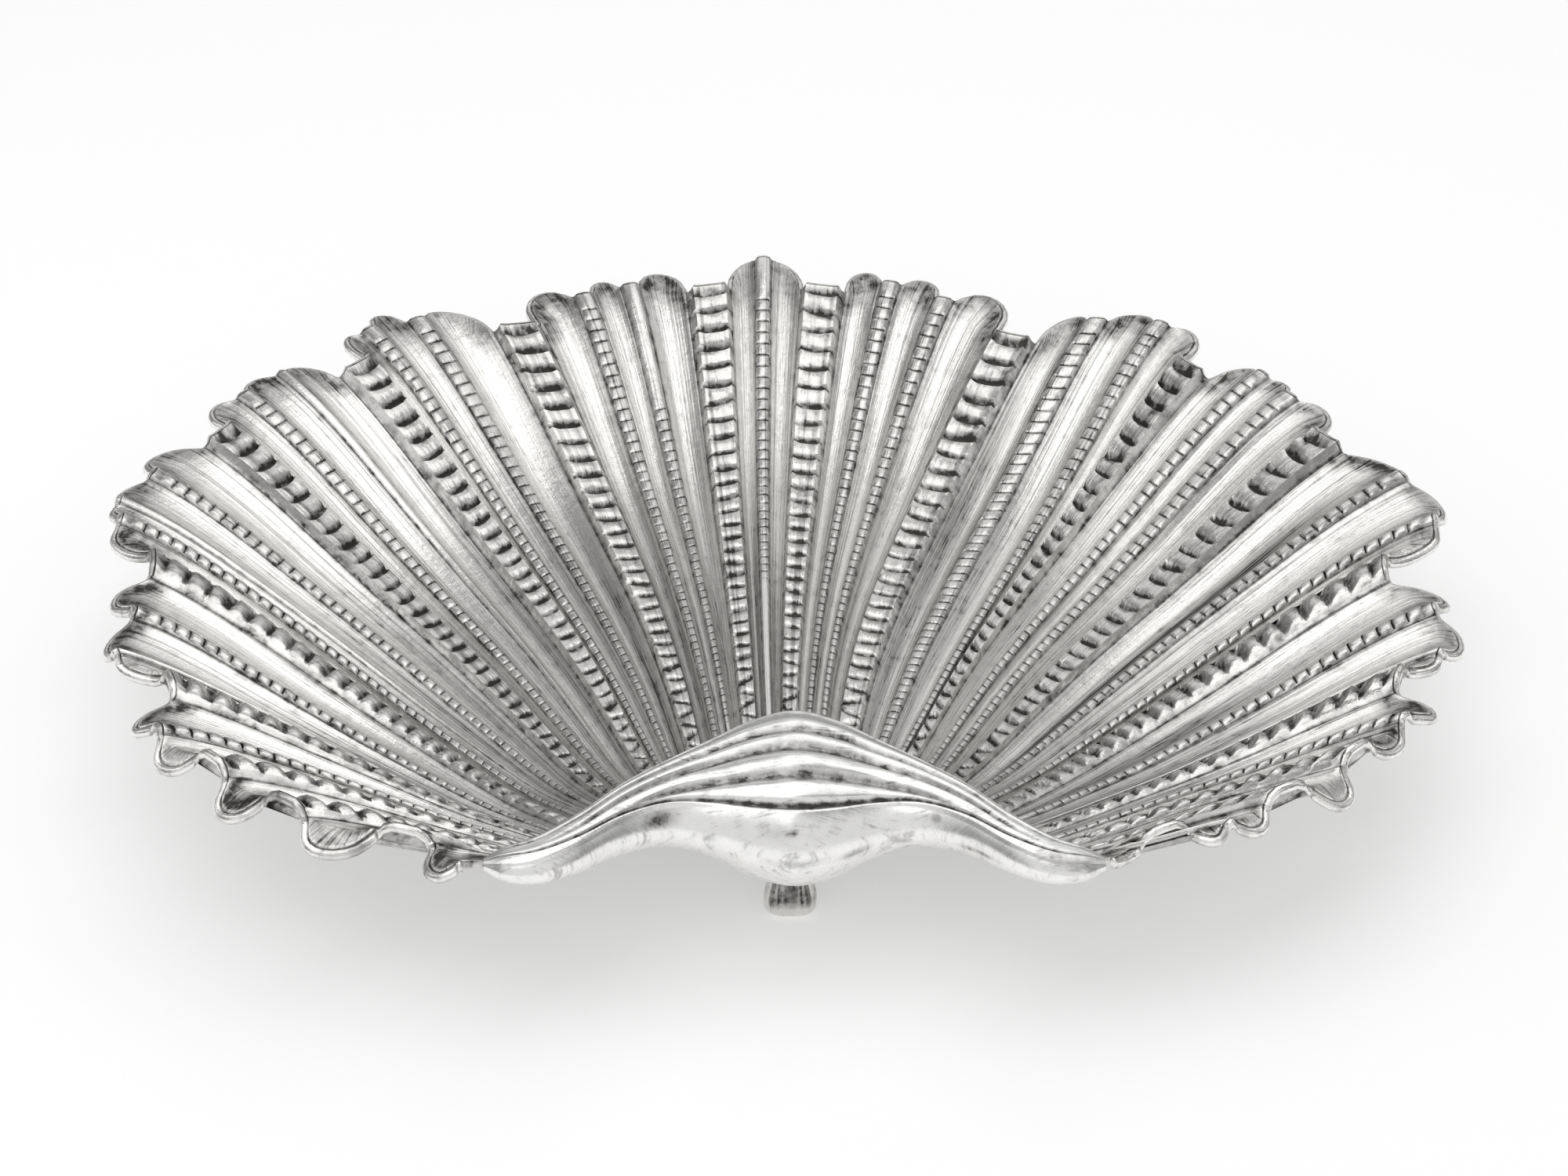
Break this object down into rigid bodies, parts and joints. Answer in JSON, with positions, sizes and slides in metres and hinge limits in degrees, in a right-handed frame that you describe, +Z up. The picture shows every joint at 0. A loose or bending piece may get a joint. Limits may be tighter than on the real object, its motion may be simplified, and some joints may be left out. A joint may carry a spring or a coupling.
{
  "type": "shell shaped platter",
  "caption": "Scallop shell serving platter with a fluted bowl, beaded ribs, a ruffled rim, an umbo collar at the front and low feet.",
  "frame": {"origin": "on the ground under the middle of the platter's plan", "axes": "+Z up, -Y towards the collar at the front, +X to the right of someone who faces the collar"},
  "size_m": [0.3566, 0.3085, 0.056],
  "materials": {
    "chased_silver": "silver, chased, with a dark antique patina in the recesses",
    "polished_silver": "silver, hand polished, with light scratches",
    "cast_silver": "silver as cast, dark in its grooves"
  },
  "bodies": {
    "root": {"shell_bowl": "chased_silver", "hinge_collar": "polished_silver", "front_foot": "cast_silver", "rear_left_foot": "cast_silver", "rear_right_foot": "cast_silver"}
  },
  "joints": []
}
